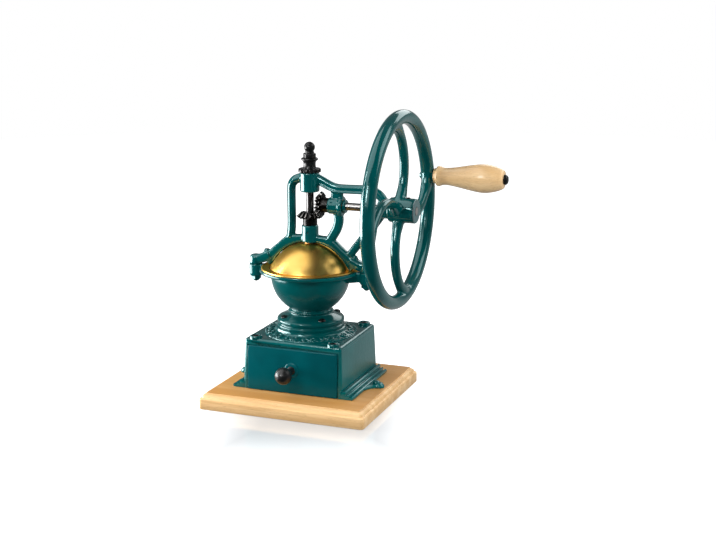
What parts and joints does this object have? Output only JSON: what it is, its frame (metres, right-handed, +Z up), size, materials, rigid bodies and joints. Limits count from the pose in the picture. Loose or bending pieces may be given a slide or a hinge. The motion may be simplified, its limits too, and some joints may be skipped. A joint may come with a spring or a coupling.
{
  "type": "manual coffee grinder",
  "caption": "Table coffee mill in green cast iron: flywheel with a wooden grip, bevel gears, bowl with a turning brass dome, grounds drawer, wooden base board.",
  "frame": {"origin": "on the spindle axis at the underside of the wooden board, which is the middle of the board", "axes": "+Z up along the spindle, +X along the drive shaft towards the flywheel, the drawer opens towards -Y"},
  "size_m": [0.2746, 0.2052, 0.3044],
  "materials": {
    "enamel": "glossy green enamel over a slightly uneven casting",
    "board_wood": "lacquered beech",
    "grip_wood": "lacquered turned beech",
    "tray_wood": "plain sanded wood",
    "brass": "satin brass sheet",
    "bronze": "turned bearing bronze",
    "black_metal": "black oxide",
    "steel": "turned bright steel",
    "gear_iron": "dark oiled iron"
  },
  "bodies": {
    "stand": {"base_board": "board_wood", "box_casting": "enamel", "ear_screws": "black_metal", "corner_screws": "black_metal", "rail_left": "steel", "rail_right": "steel", "bowl_casting": "enamel", "collar_screws": "black_metal", "outer_burr": "gear_iron", "dome_rear": "brass", "yoke": "enamel", "yoke_bolts": "black_metal", "brim_screws": "black_metal", "lower_bush": "bronze", "upper_bush": "bronze", "inner_bush": "bronze", "outer_bush": "bronze"},
    "drawer": {"drawer_front": "enamel", "drawer_tray": "tray_wood", "drawer_knob": "black_metal", "knob_screw": "steel"},
    "shutter": {"dome_front": "brass"},
    "wheel": {"flywheel": "enamel", "drive_shaft": "steel", "pinion": "gear_iron", "thrust_collar": "enamel", "hub_screw": "black_metal", "crank_pin": "black_metal"},
    "handle": {"grip": "grip_wood"},
    "upright_gear": {"crown_gear": "gear_iron", "gear_key": "steel"},
    "grinding_spindle": {"spindle": "steel", "inner_burr": "gear_iron", "burr_nut": "steel", "finial": "black_metal"},
    "adjuster": {"adjuster": "black_metal", "lock_nut": "black_metal"}
  },
  "joints": [
    {"name": "wheel_spin", "type": "hinge", "parent": "stand", "child": "wheel", "pos_m": [0.097, 0, 0.2044], "axis": [1, 0, 0], "continuous": true},
    {"name": "grip_spin", "type": "hinge", "parent": "wheel", "child": "handle", "pos_m": [0.142, 0.09019, 0.22605], "axis": [1, 0, 0], "continuous": true},
    {"name": "gear_spin", "type": "hinge", "parent": "stand", "child": "upright_gear", "pos_m": [0, 0, 0.185], "axis": [0, 0, 1], "continuous": true},
    {"name": "spindle_lift", "type": "slide", "parent": "upright_gear", "child": "grinding_spindle", "axis": [0, 0, 1], "range_m": [0, 0.00125]},
    {"name": "adjuster_turn", "type": "hinge", "parent": "upright_gear", "child": "adjuster", "pos_m": [0, 0, 0.242], "axis": [0, 0, 1], "range_deg": [-360, 0]},
    {"name": "drawer_slide", "type": "slide", "parent": "stand", "child": "drawer", "axis": [0, -1, 0], "range_m": [0, 0.08]},
    {"name": "dome_turn", "type": "hinge", "parent": "stand", "child": "shutter", "pos_m": [0, 0, 0.14], "axis": [0, 0, 1], "range_deg": [0, 165]}
  ],
  "couplings": [
    {"joint": "gear_spin", "follows": "wheel_spin", "ratio": 1},
    {"joint": "spindle_lift", "follows": "adjuster_turn", "m_per_rad": -0.00019894}
  ]
}
